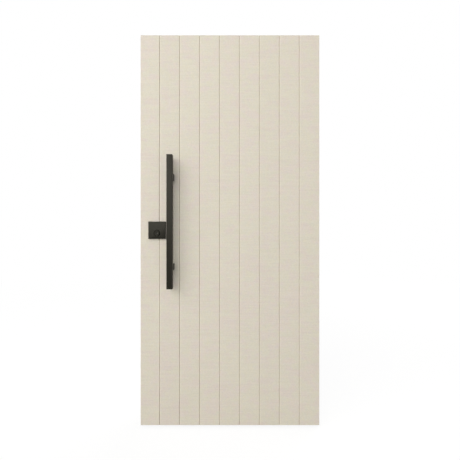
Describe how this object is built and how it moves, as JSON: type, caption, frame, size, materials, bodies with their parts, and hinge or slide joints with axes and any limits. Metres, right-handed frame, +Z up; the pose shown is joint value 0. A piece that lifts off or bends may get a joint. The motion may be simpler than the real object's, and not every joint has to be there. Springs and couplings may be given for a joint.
{
  "type": "aluminium door",
  "caption": "Pivot door leaf of vertical aluminium boards with V joints, a long square pull on each side, a square lock plate, a roller and bolt lock, and a slim channel frame behind it.",
  "frame": {"origin": "underside of the threshold, at the middle of the leaf's width and thickness", "axes": "+X along the width from the lock side to the pivot side, +Y from the outside to the inside, +Z up"},
  "size_m": [1.133, 0.23, 2.4335],
  "materials": {
    "leaf_coat": "pale cream satin powder coat with a fine grain",
    "frame_coat": "pale cream satin powder coat with a fine grain",
    "black_coat": "warm black satin powder coat",
    "plug_metal": "blackened, worn bright round the keyway",
    "bare_aluminium": "anodised, drawn along its length",
    "steel": "zinc-plated, fine brushed",
    "bronze": "turned bronze",
    "seal_rubber": "matt extruded rubber",
    "brush_pile": "dense upright pile",
    "black_plastic": "fine matt moulded plastic"
  },
  "bodies": {
    "frame": {"threshold": "bare_aluminium", "lock_jamb": "frame_coat", "pivot_jamb": "frame_coat", "head": "frame_coat", "corner_screws": "steel", "lock_stop": "frame_coat", "head_stop": "frame_coat", "stop_screws": "steel", "lock_gasket": "seal_rubber", "head_gasket": "seal_rubber", "pivot_brush": "brush_pile", "strike_plate": "black_coat", "strike_box": "black_plastic", "strike_screws": "steel", "floor_plate": "steel", "floor_spindle": "steel", "floor_plate_screws": "steel", "top_plate": "steel", "top_bush": "bronze", "top_plate_screws": "steel"},
    "leaf": {"lock_stile": "leaf_coat", "plank_2": "leaf_coat", "plank_3": "leaf_coat", "plank_4": "leaf_coat", "plank_5": "leaf_coat", "plank_6": "leaf_coat", "plank_7": "leaf_coat", "plank_8": "leaf_coat", "pivot_stile": "leaf_coat", "top_rail": "bare_aluminium", "bottom_rail": "bare_aluminium", "bottom_brush": "brush_pile", "top_pivot_body": "bare_aluminium", "top_pivot_pin": "steel", "bottom_pivot_body": "bare_aluminium", "bottom_bush": "bronze", "thrust_washer": "bronze", "pivot_body_screws": "steel", "lock_case": "steel", "forend": "steel", "forend_screws": "steel", "outer_lock_plate": "black_coat", "cylinder_rose": "black_coat", "cylinder_body": "black_coat", "inner_lock_plate": "black_coat", "plate_bolts": "steel", "outer_pull_bar": "black_coat", "outer_pull_posts": "black_coat", "inner_pull_bar": "black_coat", "inner_pull_posts": "black_coat", "pull_caps": "black_plastic", "pull_bolts": "steel"},
    "turn": {"thumb_turn": "black_coat", "spindle": "steel", "cam": "steel"},
    "plug": {"key_plug": "plug_metal"},
    "bolt": {"deadbolt": "steel"},
    "latch": {"roller_carrier": "steel", "roller_pin": "steel"},
    "wheel": {"roller": "bronze"}
  },
  "joints": [
    {"name": "door_swing", "type": "hinge", "parent": "frame", "child": "leaf", "pos_m": [0.43, 0, 0], "axis": [0, 0, 1], "range_deg": [0, 100]},
    {"name": "thumb_turn", "type": "hinge", "parent": "leaf", "child": "turn", "pos_m": [-0.447, 0.04, 1.2], "axis": [0, -1, 0], "range_deg": [0, 90]},
    {"name": "plug_turn", "type": "hinge", "parent": "leaf", "child": "plug", "pos_m": [-0.447, -0.05, 1.2], "axis": [0, -1, 0], "range_deg": [0, 90]},
    {"name": "bolt_throw", "type": "slide", "parent": "leaf", "child": "bolt", "axis": [-1, 0, 0], "range_m": [0, 0.015]},
    {"name": "roller_press", "type": "slide", "parent": "leaf", "child": "latch", "axis": [1, 0, 0], "range_m": [0, 0.0055], "stiffness_N_per_m": 1500, "springref_m": -0.004},
    {"name": "roller_spin", "type": "hinge", "parent": "latch", "child": "wheel", "pos_m": [-0.551, 0.028, 1.285], "axis": [0, 0, 1], "continuous": true}
  ],
  "couplings": [
    {"joint": "thumb_turn", "follows": "bolt_throw", "rad_per_m": 104.72},
    {"joint": "plug_turn", "follows": "bolt_throw", "rad_per_m": 104.72}
  ]
}
